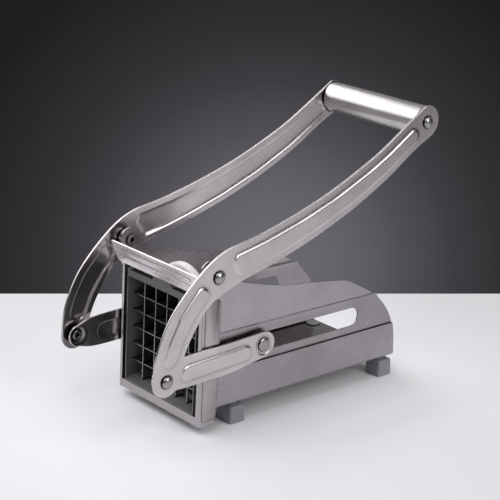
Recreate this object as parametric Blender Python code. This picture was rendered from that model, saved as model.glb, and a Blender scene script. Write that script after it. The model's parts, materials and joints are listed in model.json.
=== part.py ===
"""A lever-operated french fry cutter.

Metres, +Z up. The blade end faces -Y, X = 0 is the plane of symmetry and Z = 0 is
the table under the feet. Every place is worked out with Y = 0 at the front face of
the front frame. The whole cutter is then set forward, so that its origin is the
middle of its length. "Near" pieces lie on the +X side and "far" pieces on the -X side.
"""

import math

import bmesh
import bpy
from mathutils import Vector
from mathutils.geometry import delaunay_2d_cdt

# Sheet metal and running gaps
SHEET = 0.0009
ARM_SHEET = 0.0015
BRACKET_SHEET = 0.0012
FIT = 0.0003
OVERRUN = 0.002
BEND = 0.0020

# Front frame, which carries the cassette
FRAME_DEPTH = 0.0155
FRAME_BOTTOM = 0.0060
FRAME_TOP_GAP = 0.0040
FLANGE_WIDTH = 0.0046
SILL_FLANGE_HEIGHT = 0.0064
REAR_CUT_HEIGHT = 0.0110
REAR_CUT_DEPTH = 0.0024

# Flared lip across the top of the frame
LIP_OVERHANG = 0.0022
LIP_LENGTH = 0.0200
LIP_LEAN = math.radians(25)
LIP_NOTCH = 0.0017
LIP_ROOT_DROP = 0.0025
LIP_RIB_END_GAP = 0.0095
LIP_RIB_WIDTH = 0.0032
LIP_RIB_RISE = 0.0007
LIP_RIB_PLACE_SHARES = (0.40, 0.72)
LIP_CORNER = 0.0015

# Side walls and base tray
BODY_LENGTH = 0.1915
TRAY_UNDERSIDE = 0.0157
TRAY_FLANGE_GAP = 0.0062
TRAY_FRONT_GAP = 0.0004
WALL_LIFT = 0.0013
CREASE_RISE = 0.0086
CREASE_DROP = 0.0032
WALL_FRONT_GAP = 0.0012
EAR_RADIUS = 0.0094
EAR_FRONT_ANGLE = math.radians(144)
EAR_BACK_ANGLE = math.radians(12)
EAR_SHOULDER_DROP = 0.0071
WALL_TOP_SHARES = (
    (0.104, 0.955), (0.130, 0.932), (0.167, 0.909), (0.290, 0.853), (0.411, 0.810),
    (0.523, 0.791), (0.671, 0.757), (0.720, 0.734), (0.789, 0.675), (0.843, 0.625),
    (0.893, 0.570), (0.945, 0.477), (0.977, 0.385), (0.992, 0.284), (1.000, 0.136),
)

# Guide slot in each side wall
SLOT_HEIGHT = 0.0142
SLOT_FRONT = 0.0129
SLOT_BACK_MARGIN = 0.0411
SLOT_CENTRE_HEIGHT = 0.0556

# Lever: pivot in the wall ears, crank pin below it, handle behind it
PIVOT_Y = 0.0061
PIVOT_RISE = 0.0141
CRANK = 0.0761
CRANK_ANGLE = math.radians(-122.5)
HANDLE_REACH = 0.2109
HANDLE_ANGLE = math.radians(22.6)
HANDLE_INSET = 0.0030
HANDLE_INSET_SPAN_SHARES = (0.10, 0.94)
LINK_CLEARANCE = 0.0009
HANDLE_END_RIM = 0.0012
CRANK_END_RADIUS = 0.0112
HANDLE_LIMB_WIDTH = 0.0211
CRANK_LIMB_WIDTH = 0.0238
LEVER_FRONT_SHARES = (
    (0.905, 0.688), (0.726, 0.854), (0.484, 0.927), (0.202, 0.790), (-0.073, 0.512),
)
LEVER_TOP_SHARES = (
    (0.069, 0.66), (0.146, 0.51), (0.218, 0.37), (0.370, 0.18),
    (0.530, 0.08), (0.701, 0.12), (0.791, 0.20), (0.886, 0.36), (0.950, 0.47),
)
LEVER_UNDER_SHARES = (
    (0.948, -0.625), (0.882, -0.72), (0.762, -0.93), (0.586, -1.06),
    (0.420, -1.04), (0.277, -0.93), (0.174, -0.81), (0.082, -0.66),
)
LEVER_BACK_SHARES = (
    (0.153, -0.350), (0.241, -0.205), (0.366, -0.115), (0.608, -0.115), (0.788, -0.215),
)
HANDLE_TOP_ENDS_SHARES = ((0.0, 0.75), (1.0, 0.56))
HANDLE_UNDER_ENDS_SHARES = ((0.0, -0.58), (1.0, -0.56))
CRANK_BACK_START_SHARES = ((0.0, -0.190),)
PANEL_RISE = 0.0015
PANEL_SLOPE = 0.0028
HANDLE_PANEL_START = 0.0124
HANDLE_PANEL_END_GAP = 0.0098
CRANK_PANEL_START = 0.0090
CRANK_PANEL_END_GAP = 0.0078
PANEL_OUTER_RIM = 0.0049
HANDLE_PANEL_INNER_RIM = 0.0037
CRANK_PANEL_INNER_RIM = 0.0044
PANEL_CORNER = 0.0068

# Links between the crank pins and the pusher axle
LINK_LENGTH = 0.0893
LINK_FRONT_RIM = 0.0005
LINK_BACK_RIM = 0.0015
LINK_WIDTH = 0.0223
LINK_TOP_SHARES = ((0.13, 0.484), (0.38, 0.488), (0.64, 0.432), (0.88, 0.424))
LINK_UNDER_SHARES = ((0.88, -0.472), (0.64, -0.568), (0.38, -0.548), (0.13, -0.496))
BOSS_RISE = 0.0030
BOSS_FACE_RIM = 0.0026
BOSS_SLOPE = 0.0020
DISH_DEPTH = 0.0008
DISH_FLOOR_RIM = 0.0018
DISH_SLOPE = 0.0014
LINK_PANEL_SPAN_SHARES = (0.173, 0.872)
LINK_PANEL_CENTRE_SHARE = -0.072
LINK_PANEL_HALF_HEIGHT = 0.0066
LINK_PANEL_RISE = 0.0012
LINK_PANEL_SLOPE = 0.0018

# Rivets, axle and bushes
RIVET_RADIUS = 0.0025
RIVET_HEAD_RIM = 0.0017
RIVET_HEAD_HEIGHT = 0.0025
RIVET_TUBE_WALL = 0.0011
RIVET_TAIL_RIM = 0.0013
RIVET_TAIL_LENGTH = 0.0015
RIVET_BORE_DEPTH = 0.0045
SLEEVE_WALL = 0.0032
AXLE_RADIUS = 0.0040
AXLE_CHAMFER = 0.0006
CAP_SHANK_RADIUS = 0.0035
CAP_RIM = 0.0013
CAP_HEIGHT = 0.0013
BUSH_RIM = 0.0019
BUSH_FLANGE = 0.0012
BUSH_NOSE = 0.0018

# Handle
TUBE_RADIUS = 0.0112
TUBE_WALL = 0.0012
TUBE_EDGE = 0.0008
PLUG_LENGTH = 0.0120
ROD_RADIUS = 0.0030

# Blade cassette
CELL = 0.0125
CELLS = 6
BLADE_SHEET = 0.0006
BLADE_FRONT = 0.0055
BLADE_BACK_INSET = 0.0005
POCKET_WALL = 0.0007
CASSETTE_SIDE_GAP = 0.0035
CASSETTE_BACK_INSET = 0.0008
CASSETTE_FLOOR = 0.0082
CASSETTE_TOP_WALL = 0.0065
RIM_FRONT = 0.0003
RIM_SIDE = 0.0008
MOUTH_DRAFT_LOW = 0.0019
MOUTH_DRAFT_HIGH = 0.0009
POCKET_DEPTH = 0.0027
GRIP_HALF_WIDTH = 0.0095
GRIP_HEIGHT = 0.0022
GRIP_DEPTH = 0.0090

# Pusher
PUSHER_CLEARANCE = 0.0004
STUD_LENGTH = 0.0033
STUD_GROOVE = 0.0016
STUD_DRAFT = 0.0004
BLOCK_THICKNESS = 0.0020
BLOCK_SIDE_GAP = 0.0003
BRACKET_TAIL_RADIUS = 0.0100
BRACKET_SHOULDER_DEPTH = 0.0090
CROWN_RADIUS = 0.0260
CROWN_RISE = 0.0175
PIN_RADIUS = 0.0016
PIN_HEAD_RIM = 0.0016
PIN_HEAD_HEIGHT = 0.0014
PIN_DEPTH = 0.0008
PIN_PLACE_SHARES = (0.30, 0.75)

# Rubber feet
FOOT_WIDTH = 0.0152
FOOT_LENGTH = 0.0134
FOOT_EDGE = 0.0016
FOOT_TOP_INSET = 0.0006
FOOT_FRONT_MARGIN = 0.0212
FOOT_BACK_MARGIN = 0.0074
FOOT_NECK_LENGTH = 0.0029
FOOT_NECK_RADIUS = 0.0036
FOOT_NECK_GAP = 0.0004
FOOT_HEAD_RIM = 0.0011
FOOT_HEAD_HEIGHT = 0.0011
FOOT_HEAD_GAP = 0.0004

# Smoothness of curved outlines
TURN_STEPS = 24
TUBE_STEPS = 48
CURVE_STEPS = 3
ARC_STEPS = 10
SMOOTH_ANGLE = math.radians(32)

# Radii worked out from the sizes above
RIVET_HOLE_RADIUS = RIVET_RADIUS + FIT
RIVET_HEAD_RADIUS = RIVET_RADIUS + RIVET_HEAD_RIM
RIVET_BORE_RADIUS = RIVET_RADIUS - RIVET_TUBE_WALL
RIVET_TAIL_RADIUS = RIVET_RADIUS + RIVET_TAIL_RIM
SLEEVE_RADIUS = RIVET_HOLE_RADIUS + SLEEVE_WALL
AXLE_HOLE_RADIUS = AXLE_RADIUS + FIT
CAP_HOLE_RADIUS = CAP_SHANK_RADIUS + FIT
CAP_RADIUS = CAP_SHANK_RADIUS + CAP_RIM
BUSH_FLANGE_RADIUS = SLOT_HEIGHT / 2 + BUSH_RIM
BOSS_FACE_RADIUS = RIVET_HOLE_RADIUS + BOSS_FACE_RIM
BOSS_BASE_RADIUS = BOSS_FACE_RADIUS + BOSS_SLOPE
DISH_FLOOR_RADIUS = CAP_RADIUS + DISH_FLOOR_RIM
DISH_RADIUS = DISH_FLOOR_RADIUS + DISH_SLOPE
LINK_FRONT_RADIUS = BOSS_BASE_RADIUS + LINK_FRONT_RIM
LINK_BACK_RADIUS = DISH_RADIUS + LINK_BACK_RIM
HANDLE_END_RADIUS = TUBE_RADIUS + HANDLE_END_RIM
ROD_HOLE_RADIUS = ROD_RADIUS + FIT
PIN_HOLE_RADIUS = PIN_RADIUS + FIT
PIN_HEAD_RADIUS = PIN_RADIUS + PIN_HEAD_RIM
FOOT_HOLE_RADIUS = FOOT_NECK_RADIUS + FOOT_NECK_GAP
FOOT_HEAD_RADIUS = FOOT_HOLE_RADIUS + FOOT_HEAD_RIM

# Widths, from the cells outward
GRID_HALF_WIDTH = CELL * CELLS / 2
CASSETTE_HALF_WIDTH = GRID_HALF_WIDTH + POCKET_DEPTH + POCKET_WALL
FRAME_HALF_WIDTH = CASSETTE_HALF_WIDTH + CASSETTE_SIDE_GAP + SHEET
LIP_HALF_WIDTH = FRAME_HALF_WIDTH + LIP_OVERHANG
WALL_OUTER = FRAME_HALF_WIDTH - SHEET - FIT
TRAY_INNER = WALL_OUTER - SHEET
LOWER_WALL_OUTER = TRAY_INNER - FIT
LOWER_WALL_INNER = LOWER_WALL_OUTER - SHEET
LINK_INNER = FRAME_HALF_WIDTH + LINK_CLEARANCE
LINK_OUTER = LINK_INNER + ARM_SHEET
ARM_INNER = LINK_OUTER + BOSS_RISE + FIT
ARM_OUTER = ARM_INNER + ARM_SHEET
AXLE_END = LINK_INNER - DISH_DEPTH - FIT
BUSH_FLANGE_OUTER = LOWER_WALL_INNER - FIT
BRACKET_OUTER = BUSH_FLANGE_OUTER - BUSH_FLANGE - FIT
FOOT_X = LOWER_WALL_INNER - FOOT_HEAD_GAP - FOOT_HEAD_RADIUS

# Heights, from the table up
TRAY_FLOOR = TRAY_UNDERSIDE + SHEET
TRAY_FLANGE_TOP = SLOT_CENTRE_HEIGHT - SLOT_HEIGHT / 2 - TRAY_FLANGE_GAP
CREASE_HEIGHT = SLOT_CENTRE_HEIGHT + SLOT_HEIGHT / 2 + CREASE_RISE
FOOT_HEIGHT = TRAY_UNDERSIDE - FOOT_NECK_LENGTH
PUSHER_BOTTOM = TRAY_FLOOR + FIT + FOOT_HEAD_HEIGHT + PUSHER_CLEARANCE
SILL_BOTTOM = FRAME_BOTTOM + FIT / 3
SILL_FLANGE_TOP = SILL_BOTTOM + SILL_FLANGE_HEIGHT
CASSETTE_BOTTOM = SILL_BOTTOM + SHEET + FIT
GRID_BOTTOM = CASSETTE_BOTTOM + CASSETTE_FLOOR
GRID_TOP = GRID_BOTTOM + CELL * CELLS
CASSETTE_TOP = GRID_TOP + CASSETTE_TOP_WALL
FRAME_TOP = CASSETTE_TOP + FRAME_TOP_GAP
CROWN_TOP = GRID_TOP + CROWN_RISE
PIVOT_Z = FRAME_TOP + PIVOT_RISE
EAR_SHOULDER_HEIGHT = PIVOT_Z - EAR_SHOULDER_DROP

# Depths, from the front face of the posts back
CASSETTE_BACK = FRAME_DEPTH - CASSETTE_BACK_INSET
BLADE_BACK = CASSETTE_BACK - BLADE_BACK_INSET
BLADE_MIDDLE = (BLADE_FRONT + BLADE_BACK) / 2
STUD_FRONT = CASSETTE_BACK + FIT
BLOCK_FRONT = STUD_FRONT + STUD_LENGTH
BLOCK_BACK = BLOCK_FRONT + BLOCK_THICKNESS
BRACKET_FRONT = BLOCK_BACK + FIT
BRACKET_BACK = BRACKET_FRONT + BRACKET_SHEET
FOOT_FRONT_PLACE = FRAME_DEPTH + FOOT_FRONT_MARGIN
FOOT_BACK_PLACE = BODY_LENGTH - FOOT_BACK_MARGIN
SLOT_BACK = BODY_LENGTH - SLOT_BACK_MARGIN

# Centres of the joints
CRANK_Y = PIVOT_Y + CRANK * math.cos(CRANK_ANGLE)
CRANK_Z = PIVOT_Z + CRANK * math.sin(CRANK_ANGLE)
AXLE_Z = SLOT_CENTRE_HEIGHT
AXLE_Y = CRANK_Y + math.sqrt(LINK_LENGTH**2 - (AXLE_Z - CRANK_Z) ** 2)
HANDLE_Y = PIVOT_Y + HANDLE_REACH * math.cos(HANDLE_ANGLE)
HANDLE_Z = PIVOT_Z + HANDLE_REACH * math.sin(HANDLE_ANGLE)
MIDDLE_Y = (CRANK_Y - CRANK_END_RADIUS + HANDLE_Y + HANDLE_END_RADIUS) / 2

PIVOT = Vector((0, PIVOT_Y, PIVOT_Z))
CRANK_PIN = Vector((0, CRANK_Y, CRANK_Z))
AXLE = Vector((0, AXLE_Y, AXLE_Z))
HANDLE = Vector((0, HANDLE_Y, HANDLE_Z))
SIDES = (("near", 1), ("far", -1))

# Finishes: base colour, roughness and metallic value
SATIN_STEEL = ((0.50, 0.48, 0.485), 0.34, 1.0)
BRIGHT_STEEL = ((0.62, 0.60, 0.60), 0.18, 1.0)
BLADE_STEEL = ((0.56, 0.55, 0.54), 0.25, 1.0)
GREY_PLASTIC = ((0.075, 0.078, 0.082), 0.42, 0.0)
GREY_RUBBER = ((0.13, 0.135, 0.145), 0.62, 0.0)


def clear_scene():
    for obj in list(bpy.data.objects):
        bpy.data.objects.remove(obj)


def make_material(name, colour, roughness, metallic):
    material = bpy.data.materials.new(name)
    material.use_nodes = True
    shader = material.node_tree.nodes["Principled BSDF"]
    shader.inputs["Base Color"].default_value = (*colour, 1)
    shader.inputs["Roughness"].default_value = roughness
    shader.inputs["Metallic"].default_value = metallic
    return material


def make_axis(name, place, parent=None):
    """An empty on the axis of a joint, which carries the pieces that move with it."""
    empty = bpy.data.objects.new(name, None)
    bpy.context.scene.collection.objects.link(empty)
    empty.empty_display_size = AXLE_RADIUS
    empty.parent = parent
    empty.location = place - (parent.matrix_world.translation if parent else Vector())
    bpy.context.view_layer.update()
    return empty


def add_piece(name, bm, finish, parent=None, origin=None):
    """Turns a mesh built in world places into an object with its own material and origin."""
    place = Vector(origin) if origin is not None else Vector()
    if parent is not None and origin is None:
        place = parent.matrix_world.translation.copy()
    bmesh.ops.recalc_face_normals(bm, faces=bm.faces)
    bmesh.ops.translate(bm, verts=bm.verts, vec=-place)
    mesh = bpy.data.meshes.new(name)
    bm.to_mesh(mesh)
    bm.free()
    mesh.shade_smooth()
    mesh.set_sharp_from_angle(angle=SMOOTH_ANGLE)
    if finish is not None:
        mesh.materials.append(make_material(name, *finish))
    obj = bpy.data.objects.new(name, mesh)
    bpy.context.scene.collection.objects.link(obj)
    obj.parent = parent
    obj.location = place - (parent.matrix_world.translation if parent else Vector())
    return obj


def set_forward(distance):
    """Hangs everything on one empty and moves it toward the front."""
    loose = [obj for obj in bpy.data.objects if obj.parent is None]
    root = make_axis("cutter", Vector())
    for obj in loose:
        obj.parent = root
    root.location.y = -distance


def add_cutter(name, bm, piece, operation):
    """A hidden helper that a Boolean joins to a piece, cuts from it or trims it with."""
    cutter = add_piece(name, bm, None, piece.parent, Vector())
    cutter.hide_render = True
    cutter.display_type = "WIRE"
    modifier = piece.modifiers.new(name, "BOOLEAN")
    modifier.operation = operation
    modifier.solver = "EXACT"
    modifier.object = cutter
    return cutter


def box(low, high):
    bm = bmesh.new()
    bmesh.ops.create_cube(bm, size=1)
    middle = (Vector(low) + Vector(high)) / 2
    size = Vector(high) - Vector(low)
    for vert in bm.verts:
        vert.co = middle + Vector(a * b for a, b in zip(vert.co, size))
    return bm


def prism(outline, place, low, high):
    """Extrudes a closed outline; place(u, v, depth) gives the world point."""
    bm = bmesh.new()
    bottom = [bm.verts.new(place(u, v, low)) for u, v in outline]
    top = [bm.verts.new(place(u, v, high)) for u, v in outline]
    bm.faces.new(bottom)
    bm.faces.new(reversed(top))
    for i in range(len(outline)):
        j = (i + 1) % len(outline)
        bm.faces.new((bottom[i], top[i], top[j], bottom[j]))
    return bm


def along_x(u, v, depth):
    return (depth, u, v)


def along_y(u, v, depth):
    return (u, depth, v)


def along_z(u, v, depth):
    return (u, v, depth)


def arc(centre, radius, start, end, steps=ARC_STEPS):
    """Points on an arc, both ends included."""
    turns = [start + (end - start) * i / steps for i in range(steps + 1)]
    return [(centre[0] + radius * math.cos(t), centre[1] + radius * math.sin(t)) for t in turns]


def circle(centre, radius, steps=TURN_STEPS):
    return arc(centre, radius, 0, 2 * math.pi, steps)[:-1]


def smooth_line(points, steps=CURVE_STEPS):
    """A Catmull-Rom curve through an open list of points."""
    line = []
    last = len(points) - 1
    for i in range(last):
        p0 = Vector(points[max(i - 1, 0)])
        p1 = Vector(points[i])
        p2 = Vector(points[i + 1])
        p3 = Vector(points[min(i + 2, last)])
        for step in range(steps):
            t = step / steps
            bend = (2 * p0 - 5 * p1 + 4 * p2 - p3) * t * t + (3 * p1 - p0 - 3 * p2 + p3) * t**3
            line.append(tuple((2 * p1 + (p2 - p0) * t + bend) / 2))
    line.append(tuple(points[last]))
    return line


def in_limb(shares, origin, angle, length, width):
    """Places given as shares of a limb's length and of its width, as world (y, z)."""
    along = length * Vector((math.cos(angle), math.sin(angle)))
    across = width * Vector((-math.sin(angle), math.cos(angle)))
    base = Vector((origin.y, origin.z))
    return [tuple(base + s * along + t * across) for s, t in shares]


def sheet_outline(path, thickness):
    """The closed outline of a bent strip: the path is one face and the sheet lies to its left."""
    inner = []
    for i, point in enumerate(path):
        before = Vector(path[max(i - 1, 0)])
        after = Vector(path[min(i + 1, len(path) - 1)])
        first = Vector(point) - before
        second = after - Vector(point)
        first = (first if first.length else second).normalized()
        second = (second if second.length else first).normalized()
        normal = Vector((-first.y - second.y, first.x + second.x)).normalized()
        mitre = thickness / max(normal.dot(Vector((-first.y, first.x))), FIT / thickness)
        inner.append(tuple(Vector(point) + normal * mitre))
    return list(path) + inner[::-1]


def is_inside(point, loop):
    crossings = 0
    for (u0, v0), (u1, v1) in zip(loop, loop[1:] + loop[:1]):
        if (v0 > point.y) != (v1 > point.y):
            crossings += point.x < u0 + (u1 - u0) * (point.y - v0) / (v1 - v0)
    return crossings % 2 == 1


def fill(bm, loops):
    """Fills the area inside the first loop and outside the others with triangles."""
    verts = [vert for loop in loops for vert, _ in loop]
    outlines = [[uv for _, uv in loop] for loop in loops]
    points = [Vector(uv) for outline in outlines for uv in outline]
    edges = []
    for outline in outlines:
        start = len(edges)
        count = len(outline)
        edges += [(start + i, start + (i + 1) % count) for i in range(count)]
    _, _, triangles, sources, _, _ = delaunay_2d_cdt(points, edges, [], 1, FIT / 1e4)
    for triangle in triangles:
        corners = [sources[i][0] for i in triangle]
        middle = sum((points[i] for i in corners), Vector((0, 0))) / len(corners)
        inside = [is_inside(middle, outline) for outline in outlines]
        if inside[0] and not any(inside[1:]):
            bm.faces.new([verts[i] for i in corners])


def bridge(bm, first, second):
    for i in range(len(first)):
        j = (i + 1) % len(first)
        bm.faces.new((first[i][0], first[j][0], second[j][0], second[i][0]))


def stamped_sheet(outline, holes, panels, place, back, thickness):
    """A flat sheet with stamped panels and holes.

    place(u, v, w) gives the world point at height w above the plane. A panel is
    (base loop, face loop, rise, holes in its face), and its two loops run side by side.
    """
    bm = bmesh.new()
    edges = []
    for level in (back, back + thickness):

        def ring(points, rise=0.0, at=level):
            return [(bm.verts.new(place(u, v, at + rise)), (u, v)) for u, v in points]

        rims = [ring(outline)] + [ring(hole) for hole in holes]
        bases = [ring(base) for base, _, _, _ in panels]
        fill(bm, rims + bases)
        for (_, face, rise, inner), base in zip(panels, bases):
            top = ring(face, rise)
            bridge(bm, base, top)
            cut = [ring(hole, rise) for hole in inner]
            fill(bm, [top] + cut)
            rims += cut
        edges.append(rims)
    for lower, upper in zip(*edges):
        bridge(bm, lower, upper)
    return bm


def turned(profile, centre, side=1, steps=TURN_STEPS):
    """Revolves (x, radius) points about the line through centre along X."""
    bm = bmesh.new()
    rings = []
    for x, radius in profile:
        turns = [2 * math.pi * i / steps for i in range(steps)] if radius else [0]
        ring = []
        for turn in turns:
            y = centre[1] + radius * math.cos(turn)
            z = centre[2] + radius * math.sin(turn)
            ring.append(bm.verts.new((side * x, y, z)))
        rings.append(ring)
    hollow = bool(profile[0][1] and profile[-1][1])
    pairs = list(zip(rings, rings[1:])) + ([(rings[-1], rings[0])] if hollow else [])
    for first, second in pairs:
        for i in range(steps):
            j = (i + 1) % steps
            corners = [first[i % len(first)], first[j % len(first)]]
            corners += [second[j % len(second)], second[i % len(second)]]
            bm.faces.new(list(dict.fromkeys(corners)))
    return bm


def facing_x(side):
    """Places a sheet that stands square to X, its height growing outward on that side."""
    return lambda u, v, w: (side * w, u, v)


def arm_facing_x(side):
    """The same for a lever arm, whose handle limb leans inward along its length."""
    start, end = HANDLE_INSET_SPAN_SHARES

    def place(u, v, w):
        along = (u - PIVOT_Y) * math.cos(HANDLE_ANGLE) + (v - PIVOT_Z) * math.sin(HANDLE_ANGLE)
        share = (along / HANDLE_REACH - start) / (end - start)
        return (side * (w - HANDLE_INSET * min(max(share, 0), 1)), u, v)

    return place


def stadium(length_low, length_high, centre, half_width, steps=ARC_STEPS):
    """A slot outline along its first axis, between its two tips."""
    back = arc((length_high - half_width, centre), half_width, -math.pi / 2, math.pi / 2, steps)
    front = arc((length_low + half_width, centre), half_width, math.pi / 2, 3 * math.pi / 2, steps)
    return back + front


def offset_loop(loop, distance):
    """Moves every point of a closed loop inward by the distance, square to the loop."""
    count = len(loop)
    area = sum(loop[i - 1][0] * loop[i][1] - loop[i][0] * loop[i - 1][1] for i in range(count))
    sign = 1 if area > 0 else -1
    moved = []
    for i in range(count):
        run = Vector(loop[(i + 1) % count]) - Vector(loop[i - 1])
        normal = Vector((-run.y, run.x)).normalized() * sign
        moved.append(tuple(Vector(loop[i]) + normal * distance))
    return moved


def dome(base, radius, height, steps=4):
    """Profile of a low domed rivet head, from its rim to the axis."""
    rim = height / steps
    turns = [math.pi / 2 * i / steps for i in range(steps + 1)]
    crown = [(base + rim + (height - rim) * math.sin(t), radius * math.cos(t)) for t in turns[:-1]]
    return [(base, radius)] + crown + [(base + height, 0)]


def hollow_tail(face, radius):
    """Profile of a tubular rivet's rolled end, from the foot of its bore to its shank."""
    end = face - RIVET_TAIL_LENGTH
    edge = RIVET_TAIL_LENGTH / 3
    return [
        (end + RIVET_BORE_DEPTH, 0),
        (end + RIVET_BORE_DEPTH, RIVET_BORE_RADIUS),
        (end + edge, RIVET_BORE_RADIUS),
        (end, RIVET_BORE_RADIUS + edge),
        (end, radius - edge),
        (end + edge, radius),
        (face, radius),
        (face, RIVET_RADIUS),
    ]


def make_front_frame():
    """The bent frame: two channel posts, a sill with a front flange, and the flared lip."""
    corner = (FRAME_HALF_WIDTH - BEND, BEND)
    bend = arc(corner, BEND, -math.pi / 2, 0, ARC_STEPS // 2)
    path = [(FRAME_HALF_WIDTH - FLANGE_WIDTH, 0)] + bend + [(FRAME_HALF_WIDTH, FRAME_DEPTH)]
    post = sheet_outline(path, SHEET)
    frame = add_piece(
        "front_frame", prism(post, along_z, FRAME_BOTTOM, FRAME_TOP), SATIN_STEEL
    )
    far_post = [(-u, v) for u, v in post]
    add_cutter("far_post", prism(far_post, along_z, FRAME_BOTTOM, FRAME_TOP), frame, "UNION")
    sill_half = FRAME_HALF_WIDTH - SHEET / 2
    sill_low = (-sill_half, SHEET + FIT, SILL_BOTTOM)
    sill_high = (sill_half, FRAME_DEPTH - REAR_CUT_DEPTH, SILL_BOTTOM + SHEET)
    add_cutter("sill", box(sill_low, sill_high), frame, "UNION")
    inset = FIT / 3
    sill_foot = SHEET + 2 * FIT
    flange = [
        (inset, SILL_BOTTOM + inset),
        (sill_foot, SILL_BOTTOM + inset),
        (sill_foot, SILL_BOTTOM + SHEET - inset),
        (SHEET - inset, SILL_BOTTOM + SHEET - inset),
        (SHEET - inset, SILL_FLANGE_TOP),
        (inset, SILL_FLANGE_TOP),
    ]
    flange_half = FRAME_HALF_WIDTH - BEND
    add_cutter("sill_flange", prism(flange, along_x, -flange_half, flange_half), frame, "UNION")
    add_cutter("lip", lip_shape(), frame, "UNION")
    cut = [
        (FRAME_DEPTH - REAR_CUT_DEPTH, FRAME_BOTTOM - OVERRUN),
        (FRAME_DEPTH - REAR_CUT_DEPTH, FRAME_BOTTOM + REAR_CUT_HEIGHT / 2),
        (FRAME_DEPTH - REAR_CUT_DEPTH / 3, FRAME_BOTTOM + REAR_CUT_HEIGHT),
        (FRAME_DEPTH + OVERRUN, FRAME_BOTTOM + REAR_CUT_HEIGHT),
        (FRAME_DEPTH + OVERRUN, FRAME_BOTTOM - OVERRUN),
    ]
    half = FRAME_HALF_WIDTH + OVERRUN
    add_cutter("rear_corner_cut", prism(cut, along_x, -half, half), frame, "DIFFERENCE")
    return frame


def lip_shape():
    """The flared lip: its root joins the post flanges and its middle clears the cassette."""
    notch_half = FRAME_HALF_WIDTH - FLANGE_WIDTH
    root_half = FRAME_HALF_WIDTH - SHEET / 2
    root_rise = LIP_NOTCH
    outline = [(-root_half, 0), (-notch_half, 0), (-notch_half, root_rise)]
    outline += [(notch_half, root_rise), (notch_half, 0), (root_half, 0)]
    outline += [(root_half, root_rise), (LIP_HALF_WIDTH, root_rise + LIP_CORNER)]
    corner = (LIP_HALF_WIDTH - LIP_CORNER, LIP_LENGTH - LIP_CORNER)
    outline += arc(corner, LIP_CORNER, 0, math.pi / 2, ARC_STEPS // 2)
    outline += [(-u, v) for u, v in outline[:5:-1]]
    panels = []
    rib_half = LIP_HALF_WIDTH - LIP_RIB_END_GAP
    for share in LIP_RIB_PLACE_SHARES:
        base = stadium(-rib_half, rib_half, LIP_LENGTH * share, LIP_RIB_WIDTH / 2)
        panels.append((base, offset_loop(base, LIP_RIB_RISE), LIP_RIB_RISE, []))

    root_z = FRAME_TOP - LIP_ROOT_DROP

    def place(u, v, w):
        y = SHEET - v * math.sin(LIP_LEAN) - w * math.cos(LIP_LEAN)
        z = root_z + v * math.cos(LIP_LEAN) - w * math.sin(LIP_LEAN)
        return (u, y, z)

    return stamped_sheet(outline, [], panels, place, 0.0, SHEET)


def body_outline():
    """Side view of a wall: front edge, pivot ear, falling top edge and rounded back."""
    front = SHEET + WALL_FRONT_GAP
    ear = arc((PIVOT_Y, PIVOT_Z), EAR_RADIUS, EAR_FRONT_ANGLE, EAR_BACK_ANGLE)
    top = [(BODY_LENGTH * s, PIVOT_Z * t) for s, t in WALL_TOP_SHARES]
    bottom = TRAY_UNDERSIDE - OVERRUN
    line = [(front, bottom), (front, EAR_SHOULDER_HEIGHT - EAR_RADIUS / 2)]
    line += [(ear[0][0], EAR_SHOULDER_HEIGHT)] + ear[:-1]
    line += smooth_line([ear[-1]] + top)
    return line + [(top[-1][0], bottom)]


def make_side_wall(name, side):
    """A wall sheet, stepped inward below its crease so that the tray flange lies flush."""
    bottom = TRAY_FLOOR + WALL_LIFT
    top = PIVOT_Z + EAR_RADIUS + OVERRUN
    path = [
        (side * LOWER_WALL_OUTER, bottom),
        (side * LOWER_WALL_OUTER, CREASE_HEIGHT - CREASE_DROP),
        (side * WALL_OUTER, CREASE_HEIGHT),
        (side * WALL_OUTER, top),
    ]
    section = sheet_outline(path, side * SHEET)
    ends = (-EAR_RADIUS, BODY_LENGTH + OVERRUN)
    wall = add_piece(name, prism(section, along_y, *ends), SATIN_STEEL)
    reach = sorted((side * (LOWER_WALL_INNER - OVERRUN), side * (WALL_OUTER + OVERRUN)))
    add_cutter(name + "_outline", prism(body_outline(), along_x, *reach), wall, "INTERSECT")
    slot = stadium(SLOT_FRONT, SLOT_BACK, SLOT_CENTRE_HEIGHT, SLOT_HEIGHT / 2)
    add_cutter(name + "_slot", prism(slot, along_x, *reach), wall, "DIFFERENCE")
    hole = circle((PIVOT_Y, PIVOT_Z), RIVET_HOLE_RADIUS)
    add_cutter(name + "_pivot_hole", prism(hole, along_x, *reach), wall, "DIFFERENCE")
    return wall


def foot_places():
    return [
        ("front", "near", Vector((FOOT_X, FOOT_FRONT_PLACE, 0))),
        ("front", "far", Vector((-FOOT_X, FOOT_FRONT_PLACE, 0))),
        ("back", "near", Vector((FOOT_X, FOOT_BACK_PLACE, 0))),
        ("back", "far", Vector((-FOOT_X, FOOT_BACK_PLACE, 0))),
    ]


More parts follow.
